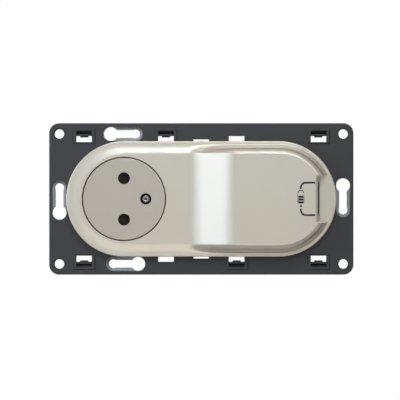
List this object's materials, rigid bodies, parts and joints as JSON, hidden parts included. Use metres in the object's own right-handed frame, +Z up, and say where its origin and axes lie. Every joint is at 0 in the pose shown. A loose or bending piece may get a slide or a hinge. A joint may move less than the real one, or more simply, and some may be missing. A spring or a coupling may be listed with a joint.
{
  "type": "usb wall socket",
  "caption": "Two-gang wall socket without its surround plate: an outlet with a flush sinking disc beside a raised USB charger.",
  "frame": {"origin": "on the wall face behind the steel plate, midway between the gangs and the four corner screws", "axes": "+X to the right along the gangs, +Z up, +Y into the wall; the front looks along -Y"},
  "size_m": [0.1404, 0.0551, 0.0698],
  "materials": {
    "titanium_lacquer": "satin metallic lacquer",
    "frame_plastic": "fine texture",
    "zinc_steel": "zinc plated",
    "spring_steel": "drawn wire and strip",
    "housing_plastic": "matt",
    "shutter_plastic": "matt",
    "contact_brass": "rolled",
    "nickel": "nickel plated",
    "board_laminate": "solder mask",
    "ferrite": "sintered",
    "copper_winding": "enamelled wire",
    "capacitor_sleeve": "shrink sleeve"
  },
  "bodies": {
    "housing": {"support_frame": "frame_plastic", "fixing_plate": "zinc_steel", "front_cover": "titanium_lacquer", "disc_spring": "spring_steel", "socket_body": "housing_plastic", "socket_base": "housing_plastic", "socket_rear_cover": "housing_plastic", "line_contact": "contact_brass", "neutral_contact": "contact_brass", "earth_pin": "nickel", "earth_strap": "contact_brass", "terminal_cages": "zinc_steel", "terminal_screws": "zinc_steel", "charger_body": "housing_plastic", "charger_base": "housing_plastic", "charger_rear_cover": "housing_plastic", "cover_screws": "zinc_steel", "charger_board": "board_laminate", "charger_tabs": "contact_brass", "transformer_core": "ferrite", "transformer_coil": "copper_winding", "bulk_capacitors": "capacitor_sleeve", "usb_shell": "nickel", "usb_tongue": "shutter_plastic", "usb_bezel": "shutter_plastic", "usb_contacts": "contact_brass"},
    "disc": {"socket_disc": "titanium_lacquer", "shutter_retainer": "shutter_plastic", "shutter_spring": "spring_steel"},
    "shutter": {"shutter": "shutter_plastic"}
  },
  "joints": [
    {"name": "disc_slide", "type": "slide", "parent": "housing", "child": "disc", "axis": [0, 1, 0], "range_m": [0, 0.015], "stiffness_N_per_m": 800, "springref_m": -0.005, "deforming": ["disc_spring"]},
    {"name": "shutter_slide", "type": "slide", "parent": "disc", "child": "shutter", "axis": [-1, 0, 0], "range_m": [0, 0.00625], "stiffness_N_per_m": 200, "springref_m": -0.002, "deforming": ["shutter_spring"]}
  ]
}
